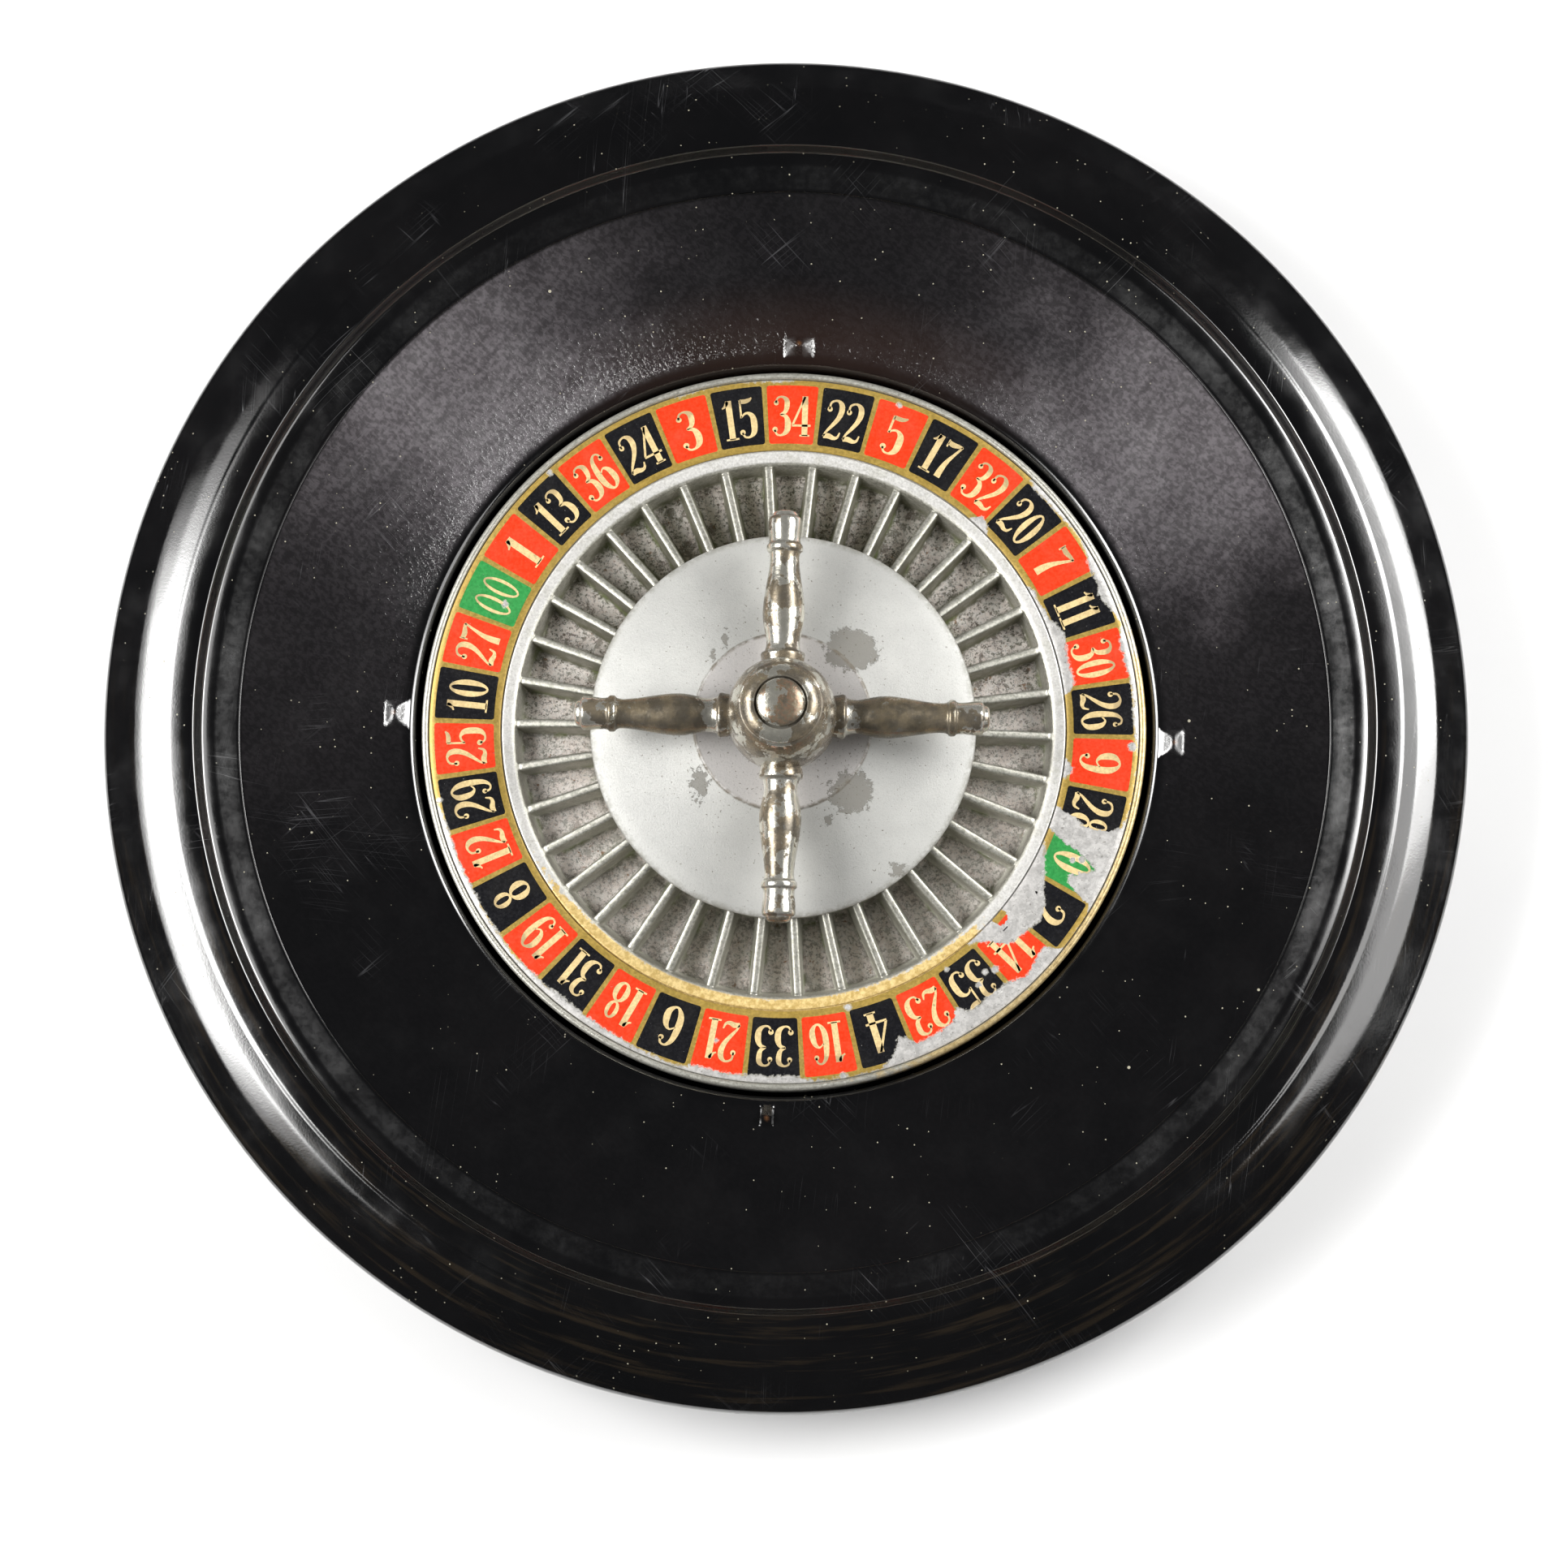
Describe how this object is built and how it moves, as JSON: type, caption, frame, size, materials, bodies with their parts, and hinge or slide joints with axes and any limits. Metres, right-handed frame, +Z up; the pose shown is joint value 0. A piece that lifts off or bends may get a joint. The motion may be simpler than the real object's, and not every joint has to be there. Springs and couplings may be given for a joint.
{
  "type": "roulette wheel",
  "caption": "Table roulette wheel: black moulded bowl with ball track, free-spinning metal rotor with numbered ring, pocket dividers, cone plate and four-armed turret.",
  "frame": {"origin": "on the turret's axis at the level of the feet's undersides", "axes": "+Z up along the rotor's axis; -Y towards the viewer and +X to the viewer's right, seen from above with the number 34 at the far side"},
  "size_m": [0.3048, 0.3048, 0.0588],
  "materials": {
    "black_bakelite": "glossy black moulded thermoset, fine scratches, rippled near the rotor well",
    "rubber": "matt black rubber",
    "steel": "plain turned steel",
    "brass": "plain brass, dull",
    "cast_metal": "silver cast metal, smooth tops and rough pocket floors with grime",
    "plate_metal": "satin silver plate with a few dark worn patches",
    "printed_ring": "printed ring, gold ground with red, black and green panels and cream numbers, chipped to bare metal",
    "plated_brass": "nickel-plated brass, plating worn to brown"
  },
  "bodies": {
    "bowl": {"bowl": "black_bakelite", "foot_1": "rubber", "foot_2": "rubber", "foot_3": "rubber", "spindle": "steel", "thrust_washer": "brass", "spindle_washer": "steel", "spindle_nut": "steel"},
    "rotor": {"rotor_casting": "cast_metal", "fret_01": "cast_metal", "fret_02": "cast_metal", "fret_03": "cast_metal", "fret_04": "cast_metal", "fret_05": "cast_metal", "fret_06": "cast_metal", "fret_07": "cast_metal", "fret_08": "cast_metal", "fret_09": "cast_metal", "fret_10": "cast_metal", "fret_11": "cast_metal", "fret_12": "cast_metal", "fret_13": "cast_metal", "fret_14": "cast_metal", "fret_15": "cast_metal", "fret_16": "cast_metal", "fret_17": "cast_metal", "fret_18": "cast_metal", "fret_19": "cast_metal", "fret_20": "cast_metal", "fret_21": "cast_metal", "fret_22": "cast_metal", "fret_23": "cast_metal", "fret_24": "cast_metal", "fret_25": "cast_metal", "fret_26": "cast_metal", "fret_27": "cast_metal", "fret_28": "cast_metal", "fret_29": "cast_metal", "fret_30": "cast_metal", "fret_31": "cast_metal", "fret_32": "cast_metal", "fret_33": "cast_metal", "fret_34": "cast_metal", "fret_35": "cast_metal", "fret_36": "cast_metal", "fret_37": "cast_metal", "fret_38": "cast_metal", "number_ring": "printed_ring", "cone_plate": "plate_metal", "bearing_bush": "brass", "turret_hub": "plated_brass", "turret_arm_1": "plated_brass", "turret_arm_2": "plated_brass", "turret_arm_3": "plated_brass", "turret_arm_4": "plated_brass", "turret_screw": "plated_brass"}
  },
  "joints": [
    {"name": "rotor_spin", "type": "hinge", "parent": "bowl", "child": "rotor", "pos_m": [0, 0, 0.0185], "axis": [0, 0, 1], "continuous": true}
  ]
}
